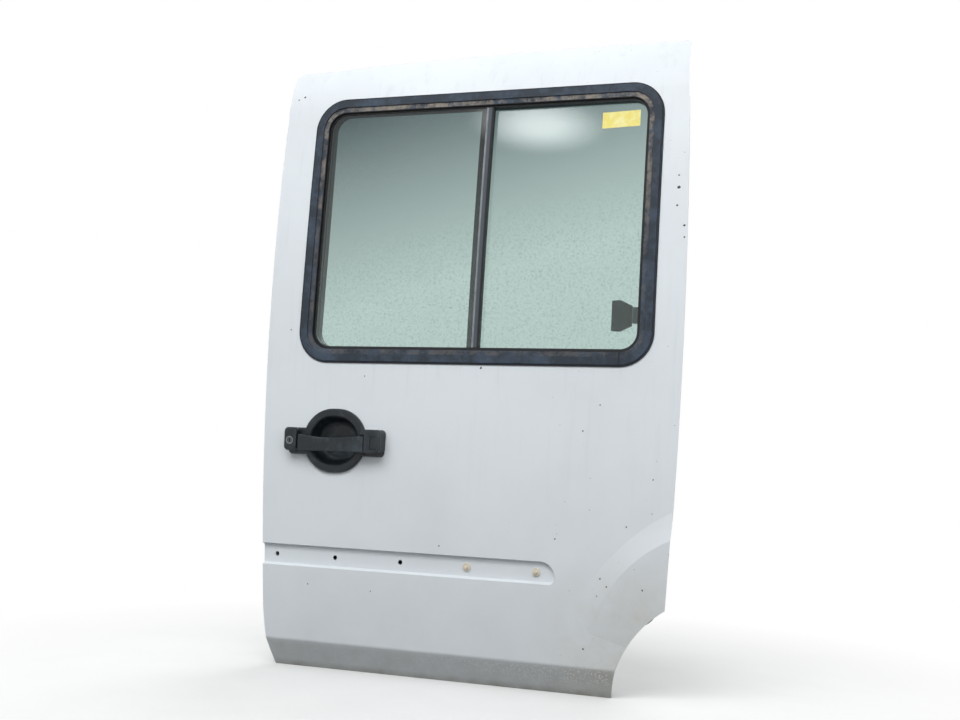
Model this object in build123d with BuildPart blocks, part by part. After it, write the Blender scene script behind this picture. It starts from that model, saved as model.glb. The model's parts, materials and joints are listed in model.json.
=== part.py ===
from build123d import *
from math import cos, radians, sin, sqrt
import os

os.makedirs("parts", exist_ok=True)

# Frame: X runs to the vehicle's rear, Y inward, Z up.
# The origin is on the flat underside of the lower roller arm, which carries the door.
# Sketches use the door's own position: x from mid width, y in from the skin, z up from the sill.

# Door size: edges at their widest, and the top edge at mid width
front_x = -444
rear_x = 447
door_height = 1290

# Lower arm, whose foot is the origin
arm_x = front_x + 114
arm_foot_depth = 150
arm_foot_height = 60

mid_x = -arm_x
skin_y = -arm_foot_depth
sill_z = -arm_foot_height

# Outer skin section
apex_height = 270
side_radius = 8000
crease_height = 56
crease_radius = 14
sill_tuck = 28
shoulder_height = door_height - 100
shoulder_radius = 172
shoulder_sweep = 48
sheet = 1.6

# Door outline
sill_front = front_x + 46
front_low = (front_x + 23, 140)
front_low_bend = (front_x + 33, 58)
front_belly = (front_x, 870)
front_top = (front_x + 6, door_height - 19)
top_middle = (0, door_height)
rear_top = (rear_x - 15, door_height + 5)
rear_belly = (rear_x, 850)
rear_low = (rear_x - 18, 175)
arch_bend = (rear_x - 85, 109)
sill_rear = rear_x - 123
top_corner = 15
hem_width = 12
hem_fold = 1.6

# Tool bodies reach past the door by these amounts
spare = 60
mass_left = front_x - spare
mass_width = rear_x - front_x + 2 * spare
mass_back = 320
mass_under = -20
cut_depth = 420

# Moulding recess
recess_height = 229
recess_floor_height = 36
recess_depth = 9
recess_draft = 24
recess_end = rear_x - 239
recess_upper_round = 26
recess_lower_round = 8

# Wheel-arch flare: its height at stations round the arch, fading to nothing at the front
flare_x = rear_x + 105
flare_z = 58
flare_outer = 322
flare_inner = 274
flare_core = 130
flare_sunk = 9
flare_hollow = 0.14
flare_foot = 0.8
flare_stations = ((98, 12), (120, 9.5), (139, 6), (155, 2.6), (172, -4))

# Window, as steps in from the gasket's outer edge
window_left = front_x + 75
window_right = rear_x - 56
window_low = 631
window_high = door_height - 89
window_corner = 68
aperture_step = 16
lip_step = 31
frame_outer_step = 17
frame_inner_step = 35
panel_edge_step = 29
glass_step = 27
gasket_rise = 5
gasket_lip_rise = 2.2
gasket_edge_step = 4
gasket_face_step = 19
seat_gap = 0.2
channel_play = 0.3
channel_step = glass_step - 0.5

# Glazing depths behind the skin line
glass_thickness = 4
front_pane_depth = 4
rear_pane_depth = 15
frame_front_depth = 2.6
window_middle = (window_left + window_right) / 2
front_pane_edge = window_middle + 18
rear_pane_edge = window_middle - 2
division_left = window_middle + 7
division_right = window_middle + 23
division_front = 1.6
division_back = 11
edge_seal_left = window_middle - 7
edge_seal_right = window_middle + 10
edge_seal_front = 12.4
edge_seal_back = 22.4

# Window latch and keeper
latch_left = window_right - 86
latch_right = window_right - 51
latch_low = window_low + 72
latch_high = window_low + 130
latch_taper = 11
latch_depth = 13
keeper_gap = 2
keeper_low = window_low + 87
keeper_high = window_low + 119

# Inner panel
panel_inset = 24
panel_flange_inset = 2.5
panel_sheet = 1.6
lower_depth = 92
belt_depth = 44
head_depth = 86
top_depth = 108
belt_low = window_low - 35
belt_high = window_low + 9
head_height = window_high - 5
panel_top = window_high + 23
belt_round = 20
bead_height = 84
bead_left = front_x + 210
bead_right = rear_x - 190
bead_width = 26
bead_depth = 6
bead_draft = 35

# Trim
trim_left = front_x + 52
trim_right = rear_x - 51
trim_low = 128
trim_high = belt_low - 8
trim_corner = 46
trim_thickness = 4
trim_stand = 0.4
trim_margin = 30
trim_field_rise = 5
trim_field_draft = 40
trim_groove_width = 5
trim_groove_depth = 2
trim_notch_gap = 12

# Inside release
release_x = front_x + 152
release_z = 474
release_width = 116
release_height = 74
release_corner = 22
release_rise = 5
release_lap = 8
release_play = 1
release_dish = 20
release_wall = 2.5
lever_width = 80
lever_height = 40
lever_thickness = 5
lever_drop = 4
lever_post = 12

# Outside handle: housing
cup_x = front_x + 174
cup_z = 469
cup_height = 132
cup_span = 10
cup_rim = 16
cup_rise = 7
cup_depth = 27
cup_wall = 2.5
cup_draft = 18
cup_floor_round = 12
cup_lip_round = 5
cup_edge_round = 5
cup_lap = 6
hole_play = 0.5
block_low = 446
block_high = 494
block_round = 9
pad_drop = 7
left_block_outer = cup_x - 106
left_block_inner = cup_x - 76.5
left_block_rise = 26
right_block_inner = cup_x + 68
right_block_outer = cup_x + 113
right_block_rise = 29
block_edge_round = 5
relief_left = cup_x + 92
relief_right = cup_x + 106
relief_low = 453
relief_high = 480
relief_width = 2.4
relief_depth = 1.4

# Outside handle: grip on its pin
pivot_x = cup_x + 68
pivot_y = -19
nose_radius = 12
nose_gap = 2.5
grip_low = 447
grip_high = 480
grip_clear = 3
grip_waist = 5
grip_left = left_block_inner + 5
grip_left_front = -28
grip_left_back = -15
grip_bow_front = 2
grip_bow_back = 5
grip_edge_round = 3
ear_low = 459
ear_high = 467
ear_radius = 6.5
ear_gap = 1.5
pin_radius = 2.5
pin_fit = 0.3
pin_seat = 0.05
grip_front_wall = 4

# Lock in the left block
lock_x = cup_x - 91
lock_z = 467
barrel_radius = 5.6
barrel_fit = 0.4
ring_radius = 8.2
ring_depth = 5
ring_rise = 1.4
barrel_rise = 0.8
barrel_length = 20
bore_end = 4
keyway_width = 1.6
keyway_height = 7
keyway_depth = 3

# Moulding clips and holes
clip_hole_radius = 4.6
bare_holes = (front_x + 48, front_x + 182, front_x + 328)
clip_places = (front_x + 472, front_x + 616)
clip_head_radius = 8
clip_head_thickness = 2.4
clip_neck_radius = 4.2
clip_peg_radius = 3.6
clip_peg_length = 4
clip_peg_round = 1.6
clip_stem_length = 12

# Roller arms
arm_width = 60
arm_plate = 5
arm_corner = 6
arm_flange_high = arm_foot_height + 56
arm_flange_width = 96
arm_reach = 206
gusset_rise = 38
gusset_reach = 26
gusset_thickness = 4
stud_radius = 5
stud_head_radius = 7
stud_head = 2
roller_seat = 0.1
roller_gap = 1
roller_radius = 13
roller_height = 14
guide_x = arm_x - 6
guide_y = 190
load_x = arm_x + 16
load_y = 128
load_z = arm_foot_height + 22
load_tab = 5
load_tab_width = 24
load_tab_over = 10
top_arm_x = front_x + 72
top_arm_width = 56
top_arm_tongue = 40
top_arm_low = panel_top + 2
top_arm_high = top_arm_low + 20
top_arm_reach = 186
top_roller_y = 168
centre_arm_x = rear_x - 91
centre_arm_high = belt_low - 4
centre_arm_low = centre_arm_high - 52
centre_arm_top = centre_arm_high - 15
centre_arm_width = 84
centre_arm_tongue = 76
centre_arm_reach = 192
centre_roller_y = 176
centre_roller_spread = 40

# Edge hardware
edge_y = 54
edge_latch_z = 452
edge_latch_height = 92
edge_latch_width = 46
edge_latch_corner = 6
front_latch_face = front_x + 24
rear_latch_face = rear_x - 25
claw_slot = 13
claw_reach = 27
dowel_heights = (330, 700)
dowel_radius = 9
dowel_step = 10
buffer_heights = (290, 960)
buffer_radius = 11
buffer_step = 15
stub_length = 40


def front_plane(depth):
    return Plane(origin=(mid_x, skin_y + depth, sill_z), x_dir=(1, 0, 0), z_dir=(0, -1, 0))


def side_plane(x):
    return Plane(origin=(mid_x + x, skin_y, sill_z), x_dir=(0, 1, 0), z_dir=(1, 0, 0))


def floor_plane(z):
    return Plane(origin=(mid_x, skin_y, sill_z + z), x_dir=(1, 0, 0), z_dir=(0, 0, 1))


def skin_depth(z):
    return side_radius - sqrt(side_radius**2 - (z - apex_height) ** 2)


def shifted(part, depth):
    return part.moved(Location((0, depth, 0)))


def draw_outline(inset):
    def inward(point, across, up):
        return (point[0] + across * inset, point[1] + up * inset)

    toe = inward((sill_front, 0), 0.78, 1)
    toe_top = inward(front_low, 1, 0)
    heel = inward((sill_rear, 0), -0.83, 1)
    heel_top = inward(rear_low, -1, 0.58)
    top_front = inward(front_top, 1, -1)
    top_rear = inward(rear_top, -1, -1)
    with BuildLine() as edge:
        Line(toe, heel)
        ThreePointArc(heel, inward(arch_bend, -0.84, 0.54), heel_top)
        ThreePointArc(heel_top, inward(rear_belly, -1, 0), top_rear)
        ThreePointArc(top_rear, inward(top_middle, 0, -1), top_front)
        ThreePointArc(top_front, inward(front_belly, 1, 0), toe_top)
        ThreePointArc(toe_top, inward(front_low_bend, 1, 0.1), toe)
    face = make_face(edge.line)
    corners = [face.vertices().sort_by_distance(tip)[0] for tip in (top_front, top_rear)]
    fillet(corners, top_corner)


def draw_window(step):
    width = window_right - window_left - 2 * step
    height = window_high - window_low - 2 * step
    with Locations((window_middle, (window_low + window_high) / 2)):
        RectangleRounded(width, height, window_corner - step)


def draw_box(left, right, low, high, corner=0):
    with Locations(((left + right) / 2, (low + high) / 2)):
        if corner:
            RectangleRounded(right - left, high - low, corner)
        else:
            Rectangle(right - left, high - low)


def draw_dot(x, z, radius):
    with Locations((x, z)):
        Circle(radius)


def draw_cup(height):
    with Locations((cup_x, cup_z)):
        SlotCenterToCenter(cup_span, height)


def draw_recess(left, low, high):
    with BuildLine() as edge:
        lower_bend = (recess_end - recess_lower_round, low)
        upper_bend = (recess_end - recess_upper_round, high)
        lower_tip = (recess_end, low + recess_lower_round)
        upper_tip = (recess_end, high - recess_upper_round)
        Polyline(upper_bend, (left, high), (left, low), lower_bend)
        RadiusArc(lower_bend, lower_tip, -recess_lower_round)
        Line(lower_tip, upper_tip)
        RadiusArc(upper_tip, upper_bend, -recess_upper_round)
    make_face(edge.line)


def draw_release(width, height, corner):
    with Locations((release_x, release_z)):
        RectangleRounded(width, height, corner)


# Everything inward of the skin line, wider than the door on all sides
with BuildPart() as plain_mass:
    with BuildSketch(side_plane(mass_left)):
        with BuildLine():
            low_point = (skin_depth(crease_height), crease_height)
            belt_point = (skin_depth(window_low), window_low)
            high_point = (skin_depth(shoulder_height), shoulder_height)
            side = ThreePointArc(low_point, belt_point, high_point)
            shoulder = JernArc(high_point, side % 1, shoulder_radius, -shoulder_sweep)
            tuck = (sill_tuck - skin_depth(crease_height)) / crease_height
            foot = (sill_tuck - mass_under * tuck, mass_under)
            crown = shoulder @ 1
            Polyline(crown, (mass_back, crown.Y), (mass_back, mass_under), foot, low_point)
        face = make_face()
        fillet(face.vertices().sort_by_distance(low_point)[0], crease_radius)
    extrude(amount=mass_width)

# Arch flare, lofted round the wheel through sections of falling height
with BuildPart() as flare:
    for angle, rise in flare_stations:
        out = (cos(radians(angle)), 0, sin(radians(angle)))
        along = (sin(radians(angle)), 0, -cos(radians(angle)))
        hub = front_plane(0).from_local_coords((flare_x, flare_z, 0))
        with BuildSketch(Plane(origin=hub, x_dir=out, z_dir=along)):
            with BuildLine():
                crest = (flare_inner, rise)
                foot = (flare_outer, min(rise, 0) - flare_foot)
                bend_rise = (crest[1] + foot[1]) / 2 - flare_hollow * (crest[1] - foot[1])
                ThreePointArc(crest, ((flare_inner + flare_outer) / 2, bend_rise), foot)
                Polyline(foot, (flare_outer, -flare_sunk), (flare_core, -flare_sunk))
                Polyline((flare_core, -flare_sunk), (flare_core, rise), crest)
            make_face()
    loft()

# The same mass with the pressed moulding recess and the arch flare
with BuildPart() as pressed_mass:
    add(plain_mass.part)
    with BuildSketch(front_plane(recess_depth)):
        half = recess_floor_height / 2
        draw_recess(mass_left - spare, recess_height - half, recess_height + half)
    extrude(amount=recess_depth + 12, taper=-recess_draft, mode=Mode.SUBTRACT)
    add(flare.part)

# Outer skin: the pressed sheet, trimmed to the outline
with BuildPart() as skin_sheet:
    add(pressed_mass.part)
    add(shifted(pressed_mass.part, sheet), mode=Mode.SUBTRACT)
    with BuildSketch(front_plane(-spare)):
        draw_outline(0)
    extrude(amount=-cut_depth, mode=Mode.INTERSECT)

# Its edge folded back on itself
with BuildPart() as hem:
    add(shifted(pressed_mass.part, sheet))
    add(shifted(pressed_mass.part, sheet + hem_fold), mode=Mode.SUBTRACT)
    with BuildSketch(front_plane(-spare)):
        draw_outline(0)
    extrude(amount=-cut_depth, mode=Mode.INTERSECT)
    with BuildSketch(front_plane(-spare)):
        draw_outline(hem_width)
    extrude(amount=-cut_depth, mode=Mode.SUBTRACT)

bowl_height = cup_height - 2 * cup_lap
with BuildPart() as outer_skin:
    add(skin_sheet.part)
    add(hem.part)
    with BuildSketch(front_plane(-spare)):
        draw_window(aperture_step)
        draw_cup(bowl_height + 2 * hole_play)
        for x in bare_holes + clip_places:
            draw_dot(x, recess_height, clip_hole_radius)
    extrude(amount=-cut_depth, mode=Mode.SUBTRACT)
outer_skin.part.label = "outer_skin"
export_step(outer_skin.part, "parts/outer_skin.step")

# Everything outward of the inner panel's inside face, with a stiffening bead under the trim
with BuildPart() as panel_mass:
    with BuildSketch(side_plane(mass_left)):
        with BuildLine():
            roof = door_height + spare
            Polyline(
                (-spare, mass_under),
                (lower_depth, mass_under),
                (lower_depth, belt_low),
                (belt_depth, belt_high),
                (head_depth, head_height),
                (top_depth, panel_top),
                (top_depth, roof),
                (-spare, roof),
                close=True,
            )
        face = make_face()
        bends = [(lower_depth, belt_low), (belt_depth, belt_high)]
        fillet([face.vertices().sort_by_distance(bend)[0] for bend in bends], belt_round)
    extrude(amount=mass_width)
    with BuildSketch(front_plane(lower_depth - bead_depth)):
        half = bead_width / 2
        draw_box(bead_left, bead_right, bead_height - half, bead_height + half, half - 1)
    extrude(amount=-bead_depth - 4, taper=-bead_draft, mode=Mode.SUBTRACT)

with BuildPart() as panel_face:
    add(panel_mass.part)
    add(shifted(panel_mass.part, -panel_sheet), mode=Mode.SUBTRACT)
    with BuildSketch(front_plane(-spare)):
        draw_outline(panel_inset)
    extrude(amount=-cut_depth, mode=Mode.INTERSECT)

flange_front = sheet + hem_fold + seat_gap
with BuildPart() as panel_wall:
    add(panel_mass.part)
    with BuildSketch(front_plane(-spare)):
        draw_outline(panel_inset)
    extrude(amount=-cut_depth, mode=Mode.INTERSECT)
    with BuildSketch(front_plane(-spare)):
        draw_outline(panel_inset + panel_sheet)
    extrude(amount=-cut_depth, mode=Mode.SUBTRACT)
    add(shifted(pressed_mass.part, flange_front), mode=Mode.INTERSECT)

with BuildPart() as panel_flange:
    add(shifted(pressed_mass.part, flange_front))
    add(shifted(pressed_mass.part, flange_front + panel_sheet), mode=Mode.SUBTRACT)
    with BuildSketch(front_plane(-spare)):
        draw_outline(panel_flange_inset)
    extrude(amount=-cut_depth, mode=Mode.INTERSECT)
    with BuildSketch(front_plane(-spare)):
        draw_outline(panel_inset + panel_sheet)
    extrude(amount=-cut_depth, mode=Mode.SUBTRACT)

# Inner panel: face, walls and the flange that the hem holds
dish_width = release_width - 2 * release_lap
dish_height = release_height - 2 * release_lap
dish_corner = release_corner - release_lap
with BuildPart() as inner_panel:
    add(panel_face.part)
    add(panel_wall.part)
    add(panel_flange.part)
    with BuildSketch(front_plane(-spare)):
        draw_window(panel_edge_step)
        draw_release(dish_width + 2 * release_play, dish_height + 2 * release_play, dish_corner)
    extrude(amount=-cut_depth, mode=Mode.SUBTRACT)
    add(outer_skin.part, mode=Mode.SUBTRACT)
inner_panel.part.label = "inner_panel"
export_step(inner_panel.part, "parts/inner_panel.step")


def layer(front, back):
    with BuildPart() as slab:
        add(shifted(plain_mass.part, front))
        add(shifted(plain_mass.part, back), mode=Mode.SUBTRACT)
    return slab.part


def window_ring(outer_step, inner_step, front, back):
    with BuildPart() as ring:
        add(layer(front, back))
        with BuildSketch(front_plane(-spare)):
            draw_window(outer_step)
        extrude(amount=-cut_depth, mode=Mode.INTERSECT)
        with BuildSketch(front_plane(-spare)):
            draw_window(inner_step)
        extrude(amount=-cut_depth, mode=Mode.SUBTRACT)
    return ring.part


def pane(step, left, right, front, back):
    with BuildPart() as sheet_glass:
        add(layer(front, back))
        with BuildSketch(front_plane(-spare)):
            draw_window(step)
            with Locations(((left + right) / 2, (window_low + window_high) / 2)):
                Rectangle(right - left, window_high - window_low, mode=Mode.INTERSECT)
        extrude(amount=-cut_depth, mode=Mode.INTERSECT)
    return sheet_glass.part


# Window gasket: a thin edge, the proud face and the inner lip
gasket_back = frame_front_depth - seat_gap
with BuildPart() as window_gasket:
    add(window_ring(0, gasket_face_step, -gasket_lip_rise, 0))
    add(window_ring(gasket_edge_step, gasket_face_step, -gasket_rise, 0))
    add(window_ring(aperture_step + seat_gap, lip_step, -gasket_lip_rise, gasket_back))
window_gasket.part.label = "window_gasket"
export_step(window_gasket.part, "parts/window_gasket.step")

# Window frame, filled back to the inner panel, with a channel for each pane
front_back = front_pane_depth + glass_thickness
rear_back = rear_pane_depth + glass_thickness
front_end = front_pane_edge + seat_gap
front_channel = (front_pane_depth - channel_play, front_back + channel_play)
rear_channel = (rear_pane_depth - channel_play, rear_back + channel_play)
with BuildPart() as window_frame:
    add(window_ring(frame_outer_step, frame_inner_step, frame_front_depth, top_depth))
    add(shifted(panel_mass.part, -panel_sheet - seat_gap), mode=Mode.INTERSECT)
    add(pane(channel_step, window_left, front_end, *front_channel), mode=Mode.SUBTRACT)
    add(pane(channel_step, window_left, window_right, *rear_channel), mode=Mode.SUBTRACT)
window_frame.part.label = "window_frame"
export_step(window_frame.part, "parts/window_frame.step")

with BuildPart() as front_glass:
    add(pane(glass_step, window_left, front_pane_edge, front_pane_depth, front_back))
front_glass.part.label = "front_glass"
export_step(front_glass.part, "parts/front_glass.step")

with BuildPart() as rear_glass:
    add(pane(glass_step, rear_pane_edge, window_right, rear_pane_depth, rear_back))
rear_glass.part.label = "rear_glass"
export_step(rear_glass.part, "parts/rear_glass.step")

# Seals on the two pane edges that pass each other
bar_step = frame_inner_step + seat_gap
front_groove = (front_pane_depth - seat_gap, front_back + seat_gap)
rear_groove = (rear_pane_depth - seat_gap, rear_back + seat_gap)
with BuildPart() as division_seal:
    add(pane(bar_step, division_left, division_right, division_front, division_back))
    add(pane(0, window_left, front_end, *front_groove), mode=Mode.SUBTRACT)
division_seal.part.label = "division_seal"
export_step(division_seal.part, "parts/division_seal.step")

with BuildPart() as rear_glass_seal:
    add(pane(bar_step, edge_seal_left, edge_seal_right, edge_seal_front, edge_seal_back))
    add(pane(0, rear_pane_edge - seat_gap, window_right, *rear_groove), mode=Mode.SUBTRACT)
rear_glass_seal.part.label = "rear_glass_seal"
export_step(rear_glass_seal.part, "parts/rear_glass_seal.step")

# Window latch on the rear pane, and its keeper on the frame
with BuildPart() as window_latch:
    add(layer(rear_back + seat_gap, rear_back + latch_depth))
    with BuildSketch(front_plane(-spare)):
        with BuildLine():
            Polyline(
                (latch_left, latch_low),
                (latch_right, latch_low + latch_taper),
                (latch_right, latch_high - latch_taper),
                (latch_left, latch_high),
                close=True,
            )
        make_face()
    extrude(amount=-cut_depth, mode=Mode.INTERSECT)
window_latch.part.label = "window_latch"
export_step(window_latch.part, "parts/window_latch.step")

with BuildPart() as window_latch_keeper:
    add(layer(rear_back + keeper_gap, rear_back + latch_depth - keeper_gap))
    with BuildSketch(front_plane(-spare)):
        draw_box(latch_right + keeper_gap, window_right - bar_step, keeper_low, keeper_high)
    extrude(amount=-cut_depth, mode=Mode.INTERSECT)
window_latch_keeper.part.label = "window_latch_keeper"
export_step(window_latch_keeper.part, "parts/window_latch_keeper.step")

# Outside handle: the two end blocks, sunk past the skin line until it trims them
with BuildPart() as left_block:
    with BuildSketch(front_plane(-left_block_rise)):
        draw_box(left_block_outer, left_block_inner, block_low, block_high, block_round)
    extrude(amount=-left_block_rise - cup_depth)
    fillet(left_block.faces().sort_by(Axis.Y)[0].edges(), block_edge_round)

with BuildPart() as right_block:
    with BuildSketch(front_plane(-right_block_rise)):
        draw_box(right_block_inner, right_block_outer, block_low, block_high, block_round)
    extrude(amount=-right_block_rise - cup_depth)
    fillet(right_block.faces().sort_by(Axis.Y)[0].edges(), block_edge_round)
    with BuildSketch(front_plane(-right_block_rise)):
        draw_box(relief_left, relief_left + relief_width, relief_low, relief_high)
        draw_box(relief_left, relief_right, relief_low, relief_low + relief_width)
        draw_box(relief_left, relief_right, relief_high - relief_width, relief_high)
    extrude(amount=-relief_depth, mode=Mode.SUBTRACT)

# Outside handle: the finger cup's hollow, and the rim and pads it is let into
with BuildPart() as cup_hollow:
    with BuildSketch(front_plane(-cup_rise)):
        draw_cup(cup_height - 2 * cup_rim)
    extrude(amount=-cup_rise - cup_depth, taper=cup_draft)
    fillet(cup_hollow.faces().sort_by(Axis.Y)[-1].edges(), cup_floor_round)

with BuildPart() as handle_base:
    with BuildSketch(front_plane(-cup_rise)):
        draw_cup(cup_height)
        draw_box(left_block_outer + 1, right_block_outer - 1, block_low - pad_drop, block_high, block_round)
    extrude(amount=-cup_rise - cup_depth)
    fillet(handle_base.faces().sort_by(Axis.Y)[0].edges(), cup_edge_round)
    add(cup_hollow.part, mode=Mode.SUBTRACT)
    fillet(handle_base.faces().sort_by(Axis.Y)[0].inner_wires()[0].edges(), cup_lip_round)
    add(left_block.part)
    add(right_block.part)
    add(plain_mass.part, mode=Mode.SUBTRACT)

with BuildPart() as handle_housing:
    add(handle_base.part)
    with BuildSketch(front_plane(0)):
        draw_cup(bowl_height)
    extrude(amount=-cup_depth - cup_wall, taper=cup_draft)
    add(cup_hollow.part, mode=Mode.SUBTRACT)
    with BuildSketch(floor_plane(block_low - grip_clear)):
        draw_dot(pivot_x, pivot_y, nose_radius + nose_gap)
    extrude(amount=grip_high - block_low + 2 * grip_clear, mode=Mode.SUBTRACT)
    with BuildSketch(floor_plane(ear_low)):
        draw_dot(pivot_x, pivot_y, ear_radius)
        draw_box(pivot_x - ear_radius, pivot_x + ear_radius, pivot_y, 0)
    extrude(amount=ear_high - ear_low)
    with BuildSketch(floor_plane(ear_low)):
        draw_dot(pivot_x, pivot_y, pin_radius + pin_seat)
    extrude(amount=ear_high - ear_low, mode=Mode.SUBTRACT)
    with BuildSketch(front_plane(-left_block_rise)):
        draw_dot(lock_x, lock_z, ring_radius + seat_gap)
    extrude(amount=-ring_depth, mode=Mode.SUBTRACT)
    with BuildSketch(front_plane(-left_block_rise)):
        draw_dot(lock_x, lock_z, barrel_radius + barrel_fit)
    extrude(amount=-left_block_rise + bore_end, mode=Mode.SUBTRACT)
handle_housing.part.label = "handle_housing"
export_step(handle_housing.part, "parts/handle_housing.step")

# Grip: a bowed strap of rounded sections, waisted along its top, with a round nose on the pivot
nose_front = pivot_y - nose_radius
nose_back = pivot_y + nose_radius
with BuildPart() as grip_strap:
    for share in (0, 0.25, 0.5, 0.75, 1):
        bow = sin(radians(180 * share))
        front = grip_left_front + share * (nose_front - grip_left_front) - bow * grip_bow_front
        back = grip_left_back - bow * grip_bow_back
        top = grip_high - bow * grip_waist
        with BuildSketch(side_plane(grip_left + share * (pivot_x - grip_left))):
            draw_box(front, back, grip_low, top, grip_edge_round)
    loft()

with BuildPart() as grip_nose:
    with BuildSketch(floor_plane(grip_low)):
        draw_dot(pivot_x, pivot_y, nose_radius)
    extrude(amount=grip_high - grip_low)
    fillet(grip_nose.edges().filter_by(GeomType.CIRCLE), grip_edge_round)

with BuildPart() as handle_grip:
    add(grip_strap.part)
    add(grip_nose.part)
    with BuildSketch(floor_plane(ear_low - ear_gap)):
        pocket_left = pivot_x - ear_radius - ear_gap
        draw_box(pocket_left, pivot_x + 2 * nose_radius, nose_front + grip_front_wall, nose_back + 1)
    extrude(amount=ear_high - ear_low + 2 * ear_gap, mode=Mode.SUBTRACT)
    with BuildSketch(floor_plane(grip_low)):
        draw_dot(pivot_x, pivot_y, pin_radius + pin_fit)
    extrude(amount=grip_high - grip_low, mode=Mode.SUBTRACT)
handle_grip.part.label = "handle_grip"
export_step(handle_grip.part, "parts/handle_grip.step")

with BuildPart() as handle_pin:
    with BuildSketch(floor_plane(grip_low + 1)):
        draw_dot(pivot_x, pivot_y, pin_radius)
    extrude(amount=grip_high - grip_low - 2)
handle_pin.part.label = "handle_pin"
export_step(handle_pin.part, "parts/handle_pin.step")

# Lock: fixed ring and turning barrel
with BuildPart() as lock_ring:
    with BuildSketch(front_plane(-left_block_rise - ring_rise)):
        with Locations((lock_x, lock_z)):
            Circle(ring_radius)
            Circle(barrel_radius + barrel_fit, mode=Mode.SUBTRACT)
    extrude(amount=-ring_rise - ring_depth + seat_gap)
lock_ring.part.label = "lock_ring"
export_step(lock_ring.part, "parts/lock_ring.step")

with BuildPart() as lock_barrel:
    with BuildSketch(front_plane(-left_block_rise - barrel_rise)):
        draw_dot(lock_x, lock_z, barrel_radius)
    extrude(amount=-barrel_length)
    with BuildSketch(front_plane(-left_block_rise - barrel_rise)):
        with Locations((lock_x, lock_z)):
            Rectangle(keyway_width, keyway_height)
    extrude(amount=-keyway_depth, mode=Mode.SUBTRACT)
lock_barrel.part.label = "lock_barrel"
export_step(lock_barrel.part, "parts/lock_barrel.step")


def moulding_clip(x):
    head_face = recess_depth - seat_gap - clip_head_thickness
    with BuildPart() as clip:
        with BuildSketch(front_plane(recess_depth + clip_stem_length)):
            draw_dot(x, recess_height, clip_neck_radius)
        extrude(amount=clip_stem_length + seat_gap)
        with BuildSketch(front_plane(recess_depth - seat_gap)):
            draw_dot(x, recess_height, clip_head_radius)
        extrude(amount=clip_head_thickness)
        with BuildSketch(front_plane(head_face)):
            draw_dot(x, recess_height, clip_peg_radius)
        extrude(amount=clip_peg_length)
        fillet(clip.faces().sort_by(Axis.Y)[0].edges(), clip_peg_round)
    return clip.part


middle_clip = moulding_clip(clip_places[0])
middle_clip.label = "middle_clip"
export_step(middle_clip, "parts/middle_clip.step")

rear_clip = moulding_clip(clip_places[1])
rear_clip.label = "rear_clip"
export_step(rear_clip, "parts/rear_clip.step")

# Inner trim with a raised field and a groove, stepped clear of the centre arm
trim_back = lower_depth + trim_stand
trim_face = trim_back + trim_thickness + trim_field_rise
field_left = trim_left + trim_margin
field_right = trim_right - trim_margin
field_low = trim_low + trim_margin
field_high = trim_high - trim_margin
groove_height = (field_low + field_high) / 2 - 60
with BuildPart() as inner_trim:
    with BuildSketch(front_plane(trim_back)):
        draw_box(trim_left, trim_right, trim_low, trim_high, trim_corner)
    extrude(amount=-trim_thickness)
    with BuildSketch(front_plane(trim_back + trim_thickness)):
        draw_box(field_left, field_right, field_low, field_high, trim_corner / 2)
    extrude(amount=-trim_field_rise, taper=trim_field_draft)
    with BuildSketch(front_plane(trim_face)):
        draw_box(field_left, field_right, groove_height, groove_height + trim_groove_width)
    extrude(amount=trim_groove_depth, mode=Mode.SUBTRACT)
    with BuildSketch(front_plane(-spare)):
        notch_left = centre_arm_x - centre_arm_width / 2 - trim_notch_gap
        draw_box(notch_left, rear_x, centre_arm_low - trim_notch_gap, window_low)
        draw_release(dish_width + 2 * release_play, dish_height + 2 * release_play, dish_corner)
    extrude(amount=-cut_depth, mode=Mode.SUBTRACT)
inner_trim.part.label = "inner_trim"
export_step(inner_trim.part, "parts/inner_trim.step")

# Inside release: dished bezel and lever
dish_back = trim_face - release_dish
with BuildPart() as release_bezel:
    with BuildSketch(front_plane(trim_face + seat_gap)):
        draw_release(release_width, release_height, release_corner)
    extrude(amount=-release_rise)
    with BuildSketch(front_plane(dish_back)):
        draw_release(dish_width, dish_height, dish_corner)
    extrude(amount=-release_dish - release_rise)
    with BuildSketch(front_plane(dish_back + release_wall)):
        inside = 2 * release_wall
        draw_release(dish_width - inside, dish_height - inside, dish_corner - release_wall)
    extrude(amount=-release_dish - release_rise, mode=Mode.SUBTRACT)
release_bezel.part.label = "release_bezel"
export_step(release_bezel.part, "parts/release_bezel.step")

lever_back = dish_back + release_wall + seat_gap
with BuildPart() as release_lever:
    with BuildSketch(front_plane(lever_back)):
        with Locations((release_x - lever_width / 2 + lever_post, release_z)):
            Rectangle(lever_post, lever_height - lever_post)
    extrude(amount=lever_back - trim_face)
    with BuildSketch(front_plane(trim_face - lever_drop)):
        draw_release(lever_width, lever_height, lever_height / 5)
    extrude(amount=-lever_thickness)
release_lever.part.label = "release_lever"
export_step(release_lever.part, "parts/release_lever.step")


def bracket(x, tongue, flange_width, flange_low, flange_high, plate_low, seat, reach):
    with BuildPart() as arm:
        with BuildSketch(front_plane(seat)):
            draw_box(x - flange_width / 2, x + flange_width / 2, flange_low, flange_high)
        extrude(amount=-arm_plate)
        with BuildSketch(floor_plane(plate_low)):
            draw_box(x - tongue / 2, x + tongue / 2, seat, reach)
        extrude(amount=arm_plate)
        tip = arm.faces().sort_by(Axis.Y)[-1]
        fillet(tip.edges().filter_by(Axis.Z), arm_corner)
    return arm.part


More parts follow.
